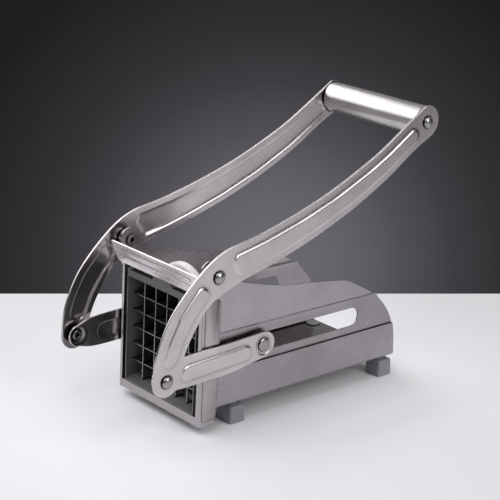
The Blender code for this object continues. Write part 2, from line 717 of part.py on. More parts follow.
def make_base_tray():
    """The floor sheet with its two upturned flanges outside the walls."""
    corner_x = WALL_OUTER - BEND
    corner_z = TRAY_UNDERSIDE + BEND
    steps = ARC_STEPS // 2
    path = [(-WALL_OUTER, TRAY_FLANGE_TOP)]
    path += arc((-corner_x, corner_z), BEND, math.pi, 3 * math.pi / 2, steps)
    path += arc((corner_x, corner_z), BEND, -math.pi / 2, 0, steps)
    path += [(WALL_OUTER, TRAY_FLANGE_TOP)]
    section = sheet_outline(path, SHEET)
    start = FRAME_DEPTH + TRAY_FRONT_GAP
    end = BODY_LENGTH + OVERRUN
    tray = add_piece("base_tray", prism(section, along_y, start, end), SATIN_STEEL)
    half = WALL_OUTER + OVERRUN
    add_cutter("tray_outline", prism(body_outline(), along_x, -half, half), tray, "INTERSECT")
    for end_name, side_name, place in foot_places():
        hole = prism(circle(place.xy, FOOT_HOLE_RADIUS), along_z, 0.0, TRAY_FLANGE_TOP)
        add_cutter(f"foot_hole_{end_name}_{side_name}", hole, tray, "DIFFERENCE")
    return tray


def make_foot(name, place):
    """A moulded foot: a rounded block with a neck and a button head above the floor."""
    bm = bmesh.new()
    half_x = FOOT_WIDTH / 2
    half_y = FOOT_LENGTH / 2
    levels = [
        (0.0, FOOT_EDGE / 2),
        (FOOT_EDGE / 2, 0.0),
        (FOOT_HEIGHT - FOOT_EDGE, FOOT_TOP_INSET / 2),
        (FOOT_HEIGHT - FOOT_EDGE / 3, FOOT_TOP_INSET),
        (FOOT_HEIGHT, FOOT_TOP_INSET + FOOT_EDGE),
    ]
    steps = TURN_STEPS // 4
    rings = []
    for height, inset in levels:
        ring = []
        for corner in range(4):
            start = corner * math.pi / 2
            turn_x = 1 if corner in (0, 3) else -1
            turn_y = 1 if corner in (0, 1) else -1
            centre = (turn_x * (half_x - FOOT_EDGE - inset), turn_y * (half_y - FOOT_EDGE - inset))
            ring += arc(centre, FOOT_EDGE, start, start + math.pi / 2, steps - 1)
        rings.append([bm.verts.new((place.x + u, place.y + v, height)) for u, v in ring])
    head_low = TRAY_FLOOR + FIT
    head_high = head_low + FOOT_HEAD_HEIGHT
    edge = FOOT_HEAD_HEIGHT / 3
    stem = [
        (FOOT_HEIGHT, FOOT_NECK_RADIUS),
        (head_low, FOOT_NECK_RADIUS),
        (head_low, FOOT_HEAD_RADIUS - edge),
        (head_low + edge, FOOT_HEAD_RADIUS),
        (head_high - edge, FOOT_HEAD_RADIUS),
        (head_high, FOOT_HEAD_RADIUS - edge),
    ]
    for height, radius in stem:
        ring = circle(place.xy, radius)
        rings.append([bm.verts.new((u, v, height)) for u, v in ring])
    for first, second in zip(rings, rings[1:]):
        for i in range(TURN_STEPS):
            j = (i + 1) % TURN_STEPS
            bm.faces.new((first[i], first[j], second[j], second[i]))
    bm.faces.new(reversed(rings[0]))
    bm.faces.new(rings[-1])
    return add_piece(name, bm, GREY_RUBBER, origin=place)


def make_cassette(parent):
    """The plastic blade holder, with a rim between the posts and a mouth with draft."""
    rim_half = GRID_HALF_WIDTH + RIM_SIDE
    rim_bottom = SILL_FLANGE_TOP + FIT
    body = box(
        (-CASSETTE_HALF_WIDTH, SHEET + FIT, CASSETTE_BOTTOM),
        (CASSETTE_HALF_WIDTH, CASSETTE_BACK, CASSETTE_TOP),
    )
    cassette = add_piece("blade_cassette", body, GREY_PLASTIC, parent)
    rim = box((-rim_half, RIM_FRONT, rim_bottom), (rim_half, BLADE_FRONT, CASSETTE_TOP))
    add_cutter("cassette_rim", rim, cassette, "UNION")
    grip = box(
        (-GRIP_HALF_WIDTH, RIM_FRONT, CASSETTE_TOP - OVERRUN),
        (GRIP_HALF_WIDTH, GRIP_DEPTH, CASSETTE_TOP + GRIP_HEIGHT),
    )
    add_cutter("cassette_grip", grip, cassette, "UNION")
    front = RIM_FRONT - OVERRUN
    back = CASSETTE_BACK + OVERRUN
    slope = (BLADE_FRONT - front) / (BLADE_FRONT - RIM_FRONT)
    mouth = [
        (front, GRID_BOTTOM - MOUTH_DRAFT_LOW * slope),
        (BLADE_FRONT, GRID_BOTTOM),
        (back, GRID_BOTTOM),
        (back, GRID_TOP),
        (BLADE_FRONT, GRID_TOP),
        (front, GRID_TOP + MOUTH_DRAFT_HIGH * slope),
    ]
    mouth_cut = prism(mouth, along_x, -GRID_HALF_WIDTH, GRID_HALF_WIDTH)
    add_cutter("mouth", mouth_cut, cassette, "DIFFERENCE")
    half = BLADE_SHEET / 2 + FIT
    for i in range(1, CELLS):
        across = i * CELL - GRID_HALF_WIDTH
        up = GRID_BOTTOM + i * CELL
        pocket_front = BLADE_FRONT - FIT
        upright = box(
            (across - half, pocket_front, GRID_BOTTOM - POCKET_DEPTH - FIT),
            (across + half, back, GRID_TOP + POCKET_DEPTH + FIT),
        )
        add_cutter(f"upright_pocket_{i}", upright, cassette, "DIFFERENCE")
        reach = GRID_HALF_WIDTH + POCKET_DEPTH
        level = box((-reach, pocket_front, up - half), (reach, back, up + half))
        add_cutter(f"level_pocket_{i}", level, cassette, "DIFFERENCE")
    return cassette


def comb(low, high, crossings, edge, depth_edge):
    """Outline of a half-lapped blade: slots run from one long edge to its middle."""
    half = BLADE_SHEET / 2 + FIT
    outline = [(low, edge)]
    for crossing in crossings:
        outline += [(crossing - half, edge), (crossing - half, depth_edge)]
        outline += [(crossing + half, depth_edge), (crossing + half, edge)]
    other = BLADE_FRONT + BLADE_BACK - edge
    return outline + [(high, edge), (high, other), (low, other)]


def make_blades(parent):
    """Five upright and five level blades, half-lapped where they cross."""
    across = [i * CELL - GRID_HALF_WIDTH for i in range(1, CELLS)]
    up = [GRID_BOTTOM + i * CELL for i in range(1, CELLS)]
    half = BLADE_SHEET / 2
    for i, x in enumerate(across, 1):
        ends = (GRID_BOTTOM - POCKET_DEPTH, GRID_TOP + POCKET_DEPTH)
        outline = comb(*ends, up, BLADE_BACK, BLADE_MIDDLE - FIT / 2)
        bm = prism(outline, lambda u, v, depth: (depth, v, u), x - half, x + half)
        add_piece(f"upright_blade_{i}", bm, BLADE_STEEL, parent)
    for i, z in enumerate(up, 1):
        reach = GRID_HALF_WIDTH + POCKET_DEPTH - FIT
        outline = comb(-reach, reach, across, BLADE_FRONT, BLADE_MIDDLE + FIT / 2)
        bm = prism(outline, along_z, z - half, z + half)
        add_piece(f"level_blade_{i}", bm, BLADE_STEEL, parent)


def pin_places():
    height = GRID_TOP - PUSHER_BOTTOM
    across = GRID_HALF_WIDTH - CELL
    levels = [PUSHER_BOTTOM + height * share for share in PIN_PLACE_SHARES]
    return [(side * across, level) for level in levels for side in (1, -1)]


def make_pusher_block(parent):
    """The plastic pusher: a base plate with one tapered stud for each cell of the grid."""
    half = GRID_HALF_WIDTH - BLOCK_SIDE_GAP
    top = GRID_TOP - BLOCK_SIDE_GAP
    bm = bmesh.new()
    places = [-half] + [i * CELL - GRID_HALF_WIDTH for i in range(1, CELLS)] + [half]
    levels = [PUSHER_BOTTOM] + [GRID_BOTTOM + i * CELL for i in range(1, CELLS)] + [top]
    groove = STUD_GROOVE / 2
    grid = [[bm.verts.new((x, BLOCK_FRONT, z)) for x in places] for z in levels]
    for row in range(CELLS):
        for column in range(CELLS):
            corners = (
                grid[row][column], grid[row][column + 1],
                grid[row + 1][column + 1], grid[row + 1][column],
            )
            middle = sum((vert.co for vert in corners), Vector()) / 4
            foot = []
            tip = []
            for vert in corners:
                run_x = math.copysign(1, vert.co.x - middle.x)
                run_z = math.copysign(1, vert.co.z - middle.z)
                foot_place = (vert.co.x - run_x * groove, BLOCK_FRONT, vert.co.z - run_z * groove)
                inset = groove + STUD_DRAFT
                tip_place = (vert.co.x - run_x * inset, STUD_FRONT, vert.co.z - run_z * inset)
                foot.append(bm.verts.new(foot_place))
                tip.append(bm.verts.new(tip_place))
            for i in range(4):
                j = (i + 1) % 4
                bm.faces.new((corners[i], corners[j], foot[j], foot[i]))
                bm.faces.new((foot[i], foot[j], tip[j], tip[i]))
            bm.faces.new(tip)
    edge = grid[0][:]
    edge += [row[-1] for row in grid[1:]]
    edge += grid[-1][-2::-1]
    edge += [row[0] for row in grid[-2:0:-1]]
    back = [bm.verts.new((vert.co.x, BLOCK_BACK, vert.co.z)) for vert in edge]
    for i in range(len(edge)):
        j = (i + 1) % len(edge)
        bm.faces.new((edge[i], edge[j], back[j], back[i]))
    bm.faces.new(back)
    block = add_piece("pusher_block", bm, GREY_PLASTIC, parent)
    for i, place in enumerate(pin_places(), 1):
        start = BRACKET_FRONT - FIT - PIN_DEPTH - FIT
        hole = prism(circle(place, PIN_HOLE_RADIUS), along_y, start, BLOCK_BACK + OVERRUN)
        add_cutter(f"block_pin_hole_{i}", hole, block, "DIFFERENCE")
    return block


def make_pusher_bracket(parent):
    """The steel U behind the block: a crowned plate and two cheeks that carry the axle."""
    crown_centre = CROWN_TOP - CROWN_RADIUS
    shoulder = GRID_TOP
    reach = math.acos((shoulder - crown_centre) / CROWN_RADIUS)
    ends = (math.pi / 2 - reach, math.pi / 2 + reach)
    crown = arc((0, crown_centre), CROWN_RADIUS, *ends, 2 * ARC_STEPS)
    plate = [(-BRACKET_OUTER, PUSHER_BOTTOM), (BRACKET_OUTER, PUSHER_BOTTOM)]
    plate += [(BRACKET_OUTER, shoulder)] + crown + [(-BRACKET_OUTER, shoulder)]
    bracket = add_piece(
        "pusher_bracket", prism(plate, along_y, BRACKET_FRONT, BRACKET_BACK), SATIN_STEEL, parent
    )
    start = BRACKET_FRONT + BRACKET_SHEET / 3
    deep = BRACKET_BACK + BRACKET_SHOULDER_DEPTH
    cheek = [(start, PUSHER_BOTTOM + FIT), (deep, PUSHER_BOTTOM + FIT)]
    cheek += arc((AXLE_Y, AXLE_Z), BRACKET_TAIL_RADIUS, -math.pi / 3, math.pi / 3)
    cheek += [(deep, shoulder - FIT), (start, shoulder - FIT)]
    for name, side in SIDES:
        inner = side * (BRACKET_OUTER - BRACKET_SHEET)
        outer = side * (BRACKET_OUTER - FIT / 3)
        shape = prism(cheek, along_x, *sorted((inner, outer)))
        add_cutter(f"bracket_cheek_{name}", shape, bracket, "UNION")
    span = BRACKET_OUTER + OVERRUN
    hole = prism(circle((AXLE_Y, AXLE_Z), AXLE_HOLE_RADIUS), along_x, -span, span)
    add_cutter("bracket_axle_holes", hole, bracket, "DIFFERENCE")
    for i, place in enumerate(pin_places(), 1):
        ends = (BRACKET_FRONT - OVERRUN, BRACKET_BACK + OVERRUN)
        hole = prism(circle(place, PIN_HOLE_RADIUS), along_y, *ends)
        add_cutter(f"bracket_pin_hole_{i}", hole, bracket, "DIFFERENCE")
    return bracket


def turned_along_y(profile, place):
    """Revolves (y, radius) points about a line along Y through place (x, z)."""
    bm = turned(profile, (0, 0, 0))
    for vert in bm.verts:
        x, y, z = vert.co
        vert.co = (place[0] + y, x, place[1] + z)
    return bm


def make_pusher_pins(parent):
    """Four headed pins that hold the block to the bracket."""
    tip = BRACKET_FRONT - FIT - PIN_DEPTH
    seat = BRACKET_BACK + FIT
    profile = [(tip, 0), (tip, PIN_RADIUS), (seat, PIN_RADIUS)]
    profile += dome(seat, PIN_HEAD_RADIUS, PIN_HEAD_HEIGHT, 3)
    for i, place in enumerate(pin_places(), 1):
        origin = (place[0], seat, place[1])
        add_piece(f"pusher_pin_{i}", turned_along_y(profile, place), BRIGHT_STEEL, parent, origin)


def make_axle(parent):
    """The pusher's cross axle and the bushes that run in the wall slots."""
    end = AXLE_END
    profile = [
        (-end, 0),
        (-end, AXLE_RADIUS - AXLE_CHAMFER),
        (-end + AXLE_CHAMFER, AXLE_RADIUS),
        (end - AXLE_CHAMFER, AXLE_RADIUS),
        (end, AXLE_RADIUS - AXLE_CHAMFER),
        (end, 0),
    ]
    add_piece("pusher_axle", turned(profile, AXLE), BRIGHT_STEEL, parent)
    barrel = SLOT_HEIGHT / 2 - FIT
    nose = LOWER_WALL_OUTER + BUSH_NOSE
    flange = BUSH_FLANGE_OUTER - BUSH_FLANGE
    profile = [
        (flange, AXLE_HOLE_RADIUS),
        (flange, BUSH_FLANGE_RADIUS),
        (BUSH_FLANGE_OUTER, BUSH_FLANGE_RADIUS),
        (BUSH_FLANGE_OUTER, barrel),
        (nose - FIT, barrel),
        (nose, barrel - FIT),
        (nose, AXLE_HOLE_RADIUS),
    ]
    for name, side in SIDES:
        bush = turned(profile, AXLE, side)
        add_piece(f"slot_bush_{name}", bush, GREY_PLASTIC, parent)


def lever_edges():
    """The front-and-top edge and the under-and-back edge of a lever arm, each from Q to H."""
    crank_limb = (PIVOT, CRANK_ANGLE, CRANK, CRANK_LIMB_WIDTH)
    handle_limb = (PIVOT, HANDLE_ANGLE, HANDLE_REACH, HANDLE_LIMB_WIDTH)
    outer = in_limb(mirrored(LEVER_FRONT_SHARES), *crank_limb)
    outer += in_limb(LEVER_TOP_SHARES, *handle_limb)
    inner = in_limb(mirrored(LEVER_BACK_SHARES), *crank_limb)[::-1]
    inner += in_limb(LEVER_UNDER_SHARES, *handle_limb)[::-1]
    return outer, inner


def mirrored(shares):
    """The crank's offsets grow toward its front, its right-hand side seen from the pivot."""
    return [(s, -t) for s, t in shares]


def lever_outline():
    outer, inner = lever_edges()
    crank_end = arc(CRANK_PIN.yz, CRANK_END_RADIUS, math.radians(5), math.radians(-195))
    handle_end = arc(HANDLE.yz, HANDLE_END_RADIUS, math.radians(100), math.radians(-60), 8)
    line = smooth_line([crank_end[-1]] + outer + [handle_end[0]])
    line += handle_end[1:]
    line += smooth_line([handle_end[-1]] + inner[::-1] + [crank_end[0]])[1:]
    return line + crank_end[1:-1]


def at_share(shares, share):
    """Reads a table of (along, across) shares at one place along it."""
    table = sorted(shares)
    for (s0, t0), (s1, t1) in zip(table, table[1:]):
        if share <= s1:
            return t0 + (t1 - t0) * (share - s0) / (s1 - s0)
    return table[-1][1]


def limb_panel(top_shares, under_shares, inner_rim, span, angle, length, width, sign):
    """A long stamped panel that follows both edges of a limb of the lever.

    span is where the panel starts and ends, measured from the pivot.
    """
    outer_rim = PANEL_OUTER_RIM / width
    inner_rim = inner_rim / width
    start, end = (place / length for place in span)
    corner = PANEL_CORNER / length
    stations = 2 * ARC_STEPS
    run = end - start - 2 * corner
    middle_steps = [start + corner + run * i / stations for i in range(stations + 1)]
    upper = [(s, at_share(top_shares, s) - outer_rim) for s in middle_steps]
    lower = [(s, at_share(under_shares, s) + inner_rim) for s in middle_steps]
    steps = ARC_STEPS // 2
    ends = []
    for edge_s, inward, at in ((end, -1, -1), (start, 1, 0)):
        high = upper[at][1]
        deep = lower[at][1]
        reach = min(PANEL_CORNER / width, (high - deep) / 2)
        centre_s = edge_s + inward * corner
        turn = []
        for centre_t, first, last in ((high - reach, math.pi / 2, 0), (deep + reach, 0, -math.pi / 2)):
            for cos_t, sin_t in arc((0, 0), 1, first, last, steps):
                turn.append((centre_s - inward * cos_t * corner, centre_t + sin_t * reach))
        ends.append(turn)
    loop = upper[1:-1] + ends[0] + lower[-2:0:-1] + ends[1][::-1]
    loop = [(s, sign * t) for s, t in loop]
    loop = in_limb(loop, PIVOT, angle, length, width)
    closest = PANEL_CORNER / ARC_STEPS
    base = [place for i, place in enumerate(loop) if math.dist(place, loop[i - 1]) > closest]
    return (base, offset_loop(base, PANEL_SLOPE), PANEL_RISE, [])


def make_lever(parent):
    """Two stamped bell-crank arms, joined by the handle."""
    holes = [
        circle(PIVOT.yz, RIVET_HOLE_RADIUS),
        circle(CRANK_PIN.yz, RIVET_HOLE_RADIUS),
        circle(HANDLE.yz, ROD_HOLE_RADIUS),
    ]
    handle_span = (HANDLE_PANEL_START, HANDLE_REACH - HANDLE_PANEL_END_GAP)
    crank_span = (CRANK_PANEL_START, CRANK - CRANK_PANEL_END_GAP)
    panels = [
        limb_panel(
            HANDLE_TOP_ENDS_SHARES + LEVER_TOP_SHARES, HANDLE_UNDER_ENDS_SHARES + LEVER_UNDER_SHARES,
            HANDLE_PANEL_INNER_RIM, handle_span, HANDLE_ANGLE, HANDLE_REACH, HANDLE_LIMB_WIDTH, 1,
        ),
        limb_panel(
            LEVER_FRONT_SHARES, CRANK_BACK_START_SHARES + LEVER_BACK_SHARES[1:],
            CRANK_PANEL_INNER_RIM, crank_span, CRANK_ANGLE, CRANK, CRANK_LIMB_WIDTH, -1,
        ),
    ]
    for name, side in SIDES:
        bm = stamped_sheet(lever_outline(), holes, panels, arm_facing_x(side), ARM_INNER, ARM_SHEET)
        add_piece(f"lever_arm_{name}", bm, SATIN_STEEL, parent)


def make_links(parent):
    """Two flat links, dished at the axle and bossed out to the lever at the crank pin."""
    run = AXLE.yz - CRANK_PIN.yz
    angle = math.atan2(run.y, run.x)
    limb = (CRANK_PIN, angle, LINK_LENGTH, LINK_WIDTH)
    top = in_limb(LINK_TOP_SHARES, *limb)
    under = in_limb(LINK_UNDER_SHARES, *limb)
    quarter = math.pi / 2
    back = arc(AXLE.yz, LINK_BACK_RADIUS, angle + quarter, angle - quarter)
    front = arc(CRANK_PIN.yz, LINK_FRONT_RADIUS, angle - quarter, angle - 3 * quarter)
    line = smooth_line([front[-1]] + top + [back[0]])
    line += back[1:]
    line += smooth_line([back[-1]] + under + [front[0]])[1:]
    line += front[1:-1]
    boss = (
        circle(CRANK_PIN.yz, BOSS_BASE_RADIUS),
        circle(CRANK_PIN.yz, BOSS_FACE_RADIUS),
        BOSS_RISE,
        [circle(CRANK_PIN.yz, RIVET_HOLE_RADIUS)],
    )
    dish = (
        circle(AXLE.yz, DISH_RADIUS),
        circle(AXLE.yz, DISH_FLOOR_RADIUS),
        -DISH_DEPTH,
        [circle(AXLE.yz, CAP_HOLE_RADIUS)],
    )
    start, end = (LINK_LENGTH * share for share in LINK_PANEL_SPAN_SHARES)
    flat = stadium(start, end, LINK_WIDTH * LINK_PANEL_CENTRE_SHARE, LINK_PANEL_HALF_HEIGHT)
    base = in_limb([(u / LINK_LENGTH, v / LINK_WIDTH) for u, v in flat], *limb)
    rib = (base, offset_loop(base, LINK_PANEL_SLOPE), LINK_PANEL_RISE, [])
    for name, side in SIDES:
        bm = stamped_sheet(line, [], [boss, dish, rib], facing_x(side), LINK_INNER, ARM_SHEET)
        add_piece(f"link_arm_{name}", bm, SATIN_STEEL, parent)


def make_rivets(lever_axis, link_axis):
    """Pivot rivets in the wall ears, crank rivets in the lever and caps on the axle ends."""
    head = dome(ARM_OUTER + FIT, RIVET_HEAD_RADIUS, RIVET_HEAD_HEIGHT)
    head = [(ARM_OUTER + FIT, RIVET_RADIUS)] + head
    ear_face = WALL_OUTER - SHEET - FIT
    pin_face = LINK_OUTER + BOSS_RISE - ARM_SHEET - FIT
    cap_seat = LINK_OUTER - DISH_DEPTH + FIT
    cap_end = LINK_INNER - DISH_DEPTH
    cap = [(cap_end, 0), (cap_end, CAP_SHANK_RADIUS), (cap_seat, CAP_SHANK_RADIUS)]
    cap += dome(cap_seat, CAP_RADIUS, CAP_HEIGHT)
    sleeve = [
        (WALL_OUTER + FIT, RIVET_HOLE_RADIUS),
        (WALL_OUTER + FIT, SLEEVE_RADIUS),
        (ARM_INNER - FIT, SLEEVE_RADIUS),
        (ARM_INNER - FIT, RIVET_HOLE_RADIUS),
    ]
    for name, side in SIDES:
        pivot = hollow_tail(ear_face, RIVET_TAIL_RADIUS) + head
        add_piece(f"pivot_rivet_{name}", turned(pivot, PIVOT, side), BRIGHT_STEEL, origin=PIVOT)
        add_piece(f"pivot_sleeve_{name}", turned(sleeve, PIVOT, side), BRIGHT_STEEL, origin=PIVOT)
        crank = hollow_tail(pin_face, RIVET_TAIL_RADIUS) + head
        bm = turned(crank, CRANK_PIN, side)
        add_piece(f"crank_rivet_{name}", bm, BRIGHT_STEEL, lever_axis, CRANK_PIN)
        add_piece(f"axle_cap_{name}", turned(cap, AXLE, side), BRIGHT_STEEL, link_axis, AXLE)


def make_handle(parent):
    """The grip tube between the arms, its end plugs and the riveted rod through them."""
    end = ARM_INNER - HANDLE_INSET - FIT
    bore = TUBE_RADIUS - TUBE_WALL
    tube = [
        (-end, bore),
        (-end, TUBE_RADIUS - TUBE_EDGE),
        (-end + TUBE_EDGE, TUBE_RADIUS),
        (end - TUBE_EDGE, TUBE_RADIUS),
        (end, TUBE_RADIUS - TUBE_EDGE),
        (end, bore),
    ]
    bm = turned(tube, HANDLE, 1, TUBE_STEPS)
    add_piece("handle_tube", bm, BRIGHT_STEEL, parent, HANDLE)
    plug = [
        (end - PLUG_LENGTH, ROD_HOLE_RADIUS),
        (end - PLUG_LENGTH, bore - FIT),
        (end, bore - FIT),
        (end, ROD_HOLE_RADIUS),
    ]
    for name, side in SIDES:
        add_piece(f"handle_plug_{name}", turned(plug, HANDLE, side), GREY_PLASTIC, parent, HANDLE)
    seat = ARM_OUTER - HANDLE_INSET + FIT
    half = [(seat, ROD_RADIUS)] + dome(seat, RIVET_HEAD_RADIUS, RIVET_HEAD_HEIGHT)
    rod = [(-x, radius) for x, radius in half[::-1]] + half
    add_piece("handle_rod", turned(rod, HANDLE), BRIGHT_STEEL, parent, HANDLE)


def main():
    clear_scene()
    make_front_frame()
    make_base_tray()
    for name, side in SIDES:
        make_side_wall(f"side_wall_{name}", side)
    for end_name, side_name, place in foot_places():
        make_foot(f"foot_{end_name}_{side_name}", place)
    cassette_guide = make_axis("cassette_guide", Vector((0, 0, FRAME_BOTTOM)))
    make_cassette(cassette_guide)
    make_blades(cassette_guide)
    pusher_guide = make_axis("pusher_guide", AXLE)
    make_pusher_block(pusher_guide)
    make_pusher_bracket(pusher_guide)
    make_pusher_pins(pusher_guide)
    make_axle(pusher_guide)
    lever_axis = make_axis("lever_axis", PIVOT)
    link_axis = make_axis("link_axis", CRANK_PIN, lever_axis)
    make_lever(lever_axis)
    make_links(link_axis)
    make_rivets(lever_axis, link_axis)
    make_handle(lever_axis)
    set_forward(MIDDLE_Y)


main()
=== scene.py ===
"""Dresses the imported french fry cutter: finer pieces, finishes, a pale table and soft light.

Metres, +Z up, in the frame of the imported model. The blade end faces -Y, "near" is the
+X side, and every piece takes its place from the CAD node that it stands for.
"""

import json
import math

import bmesh
import bpy
from mathutils import Matrix, Vector


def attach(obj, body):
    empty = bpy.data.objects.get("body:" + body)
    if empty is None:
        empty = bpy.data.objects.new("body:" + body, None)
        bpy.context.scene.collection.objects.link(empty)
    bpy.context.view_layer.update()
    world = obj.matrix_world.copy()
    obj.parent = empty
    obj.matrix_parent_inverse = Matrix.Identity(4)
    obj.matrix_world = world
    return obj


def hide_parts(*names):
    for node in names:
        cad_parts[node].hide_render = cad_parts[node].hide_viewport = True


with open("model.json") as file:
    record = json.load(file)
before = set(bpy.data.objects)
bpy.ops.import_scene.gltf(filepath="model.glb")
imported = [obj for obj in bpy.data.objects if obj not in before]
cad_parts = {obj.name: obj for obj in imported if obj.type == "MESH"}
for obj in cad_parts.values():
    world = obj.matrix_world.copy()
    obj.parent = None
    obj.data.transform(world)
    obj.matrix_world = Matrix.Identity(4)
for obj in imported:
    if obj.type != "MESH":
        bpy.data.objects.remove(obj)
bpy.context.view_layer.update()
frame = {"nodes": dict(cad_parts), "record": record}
NODES = frame["nodes"]
BODIES = frame["record"]["behaviour"]["bodies"]
SIDES = (("near", 1), ("far", -1))

# Camera, as in the photograph
IMAGE_WIDTH = 500
FOCAL_PIXELS = 1481.65
SENSOR = 36.0
CLIP_START = 0.01
CLIP_END = 30
CAMERA_PLACE = Vector((0.74286, -0.678078, 0.43342))
CAMERA_YAW = math.radians(47.78)
CAMERA_PITCH = math.radians(18.052)
CAMERA_ROLL = math.radians(3.076)

# Table: its far edge, its size, and how its colour darkens with the distance from the object, a
# painted falloff of the pool of light round it
TABLE_EDGE_POINT = Vector((-0.1507, 0.1355, 0))
TABLE_EDGE_RUN = (0.2399, 0.3668)
TABLE_WIDTH = 6.0
TABLE_DEPTH = 4.0
TABLE_DROP = 0.0002
TABLE_COLOURS = ((0.81, 0.81, 0.84, 1), (0.83, 0.83, 0.86, 1))
TABLE_ROUGHNESS = 0.55
TABLE_CLOUD = (3, 2)
TABLE_REACH = 1.2
TABLE_SHADES = ((0.0, 1.0), (0.125, 1.0), (0.22, 0.87), (0.42, 0.78), (0.92, 0.41))

# Backdrop, which only the camera sees: a glow round one pixel of the photograph
GLOW_PLACE = (270, 265)
GLOW_SPAN = (0.975, 1.0)
GLOW_SHADES = (
    (0.0, (0.014, 0.014, 0.015)),
    (0.30, (0.022, 0.021, 0.023)),
    (0.54, (0.032, 0.031, 0.034)),
    (0.70, (0.050, 0.047, 0.053)),
    (0.84, (0.082, 0.078, 0.086)),
    (0.96, (0.130, 0.126, 0.141)),
    (1.0, (0.145, 0.141, 0.158)),
)

# Room light, by height of the direction, and lamps: name, place, size and radiance
ROOM_SPAN = (-0.2, 1.0)
ROOM_SHADES = ((0.0, 0.05), (0.30, 0.08), (0.48, 0.28), (0.70, 0.35), (1.0, 0.35))
LAMP_TARGET = Vector((0, 0, 0.08))
LAMPS = (
    ("right", (1.12, 0.22, 0.74), (0.85, 1.0), 2.9),
    ("left", (-1.10, -0.34, 0.82), (1.9, 1.15), 1.85),
    ("front", (0.05, -0.75, 1.50), (1.3, 1.1), 2.8),
)

# Textures. A noise is its scale, detail, roughness and distortion.
NEW_STOP = 0.5
NOISE_SPAN = (0.3, 0.7)
WORN_MATCH = (0.995, 0.90)
WORN_SAMPLES = 4
# Painted shade: ambient occlusion darkens the colour in creases and beside touching pieces, down
# to the crease shade; the walls get the lighter wall crease shade.
CREASE_REACH = 0.0018
CREASE_SAMPLES = 6
CREASE_OPENNESS = (0.82, 1.0)
CREASE_SHADE = 0.15
WALL_CREASE_SHADE = 0.50

STEEL_CLOUD = (26, 3, 0.55)
STEEL_CLOUD_SPAN = (0.35, 0.65)
STEEL_SMUDGE = (90, 4, 0.6, 0.4)
STEEL_LINES = (1.0, 3, 0.6)
STEEL_SPECK = (2600, 2, 0.6)
STEEL_DARK = 0.90
STEEL_LIGHT = 1.07
STEEL_RUBBED = 1.14
STEEL_RUBBED_MOST = 0.75
STEEL_LINES_MOST = 0.10
STEEL_SPECK_SHARE = 0.3
STEEL_SPREAD = 0.12
STEEL_STREAK = 0.015
STEEL_EDGE = 0.0006
STEEL_BUMP = 0.5

PLASTIC_CLOUD = (40, 3, 0.6)
PLASTIC_GRAIN = (2200, 3, 0.65)
PLASTIC_PORES = 1500
PLASTIC_FLOW = (1.0, 2)
PLASTIC_FLOW_STRETCH = (60, 60, 400)
PLASTIC_FLOW_SPAN = (0.45, 0.75)
PLASTIC_FLOW_MOST = 0.25
PLASTIC_DARK = 0.85
PLASTIC_LIGHT = 1.15
PLASTIC_RUBBED = 1.7
PLASTIC_RUBBED_LIFT = 0.01
PLASTIC_RUBBED_MOST = 0.8
PLASTIC_PORE_SHARE = 0.4
PLASTIC_SPREAD = 0.15
PLASTIC_EDGE = 0.0005
PLASTIC_BUMP = 0.6

# Finishes. A painted light is a height, a second one, and how much brighter steel is painted from
# there up, standing in for the brighter reflection on the lip and on the upper walls.
LIP_PAINTED_LIGHT = (0.0985, 0.1005, 1.75)
WALL_PAINTED_LIGHT = (0.0660, 0.0700, 1.19)
STEELS = {
    "satin_steel": {
        "colour": (0.605, 0.565, 0.577), "roughness": 0.22,
        "grain": (3600, 120, 3600), "grain_depth": 0.0000015,
    },
    "frame_steel": {
        "colour": (0.44, 0.412, 0.423), "roughness": 0.27,
        "grain": (3600, 3600, 120), "grain_depth": 0.000003, "painted_light": LIP_PAINTED_LIGHT,
    },
    "wall_steel": {
        "colour": (0.358, 0.331, 0.345), "roughness": 0.27,
        "grain": (3600, 120, 3600), "grain_depth": 0.000003, "painted_light": WALL_PAINTED_LIGHT,
        "crease": WALL_CREASE_SHADE,
    },
    "rivet_steel": {
        "colour": (0.38, 0.363, 0.363), "roughness": 0.24,
        "grain": (300, 300, 300), "grain_depth": 0.000004,
    },
    "grip_steel": {
        "colour": (0.66, 0.635, 0.63), "roughness": 0.31,
        "grain": (40, 1500, 1500), "grain_depth": 0.000004,
    },
    "blade_steel": {
        "colour": (0.34, 0.345, 0.34), "roughness": 0.30,
        "grain": (900, 900, 900), "grain_depth": 0.000004,
    },
}
PLASTICS = {
    "matte_steel": {"colour": (0.74, 0.70, 0.72), "roughness": 0.42, "grain_depth": 0.00001},
    "cassette_plastic": {"colour": (0.115, 0.115, 0.118), "roughness": 0.36},
    "pusher_plastic": {"colour": (0.020, 0.021, 0.023), "roughness": 0.46},
    # Painted shade: near-black strips stand for the shade in the cassette's top slots.
    "slot_shade_black": {"colour": (0.008, 0.008, 0.009), "roughness": 0.70, "sheen": 0.1},
    "bush_plastic": {"colour": (0.040, 0.041, 0.044), "roughness": 0.40},
    "foot_rubber": {"colour": (0.205, 0.212, 0.228), "roughness": 0.58, "grain_depth": 0.00005},
}

# Mesh limits
WELD = 1e-6
CUT_WELD = 1e-7
ON_FACE = 1e-5
FLAT_TURN = math.radians(0.5)
SOFT_TURN = math.radians(18)
SOFT_TURN_END = math.radians(55)
HARD_TURN = math.radians(58)
SHARP_TURN = math.radians(35)
UPRIGHT_SHARE = 0.99
ROUND_PROFILE = 0.5
SLOPE_STEPS = 3
CORNER_STEPS = 8
NORMAL_WEIGHT = 80

# Walls: below the crease they step inward, by a little more than the sheet is thick
WALL_LOWER_HALF = 0.060
CREASE_FOOT = (0.0675, 0.0690)
CREASE_LIFT = 0.0017
STEP_OVER_SHEET = 0.0003
INNER_FACE_SLACK = 1e-4

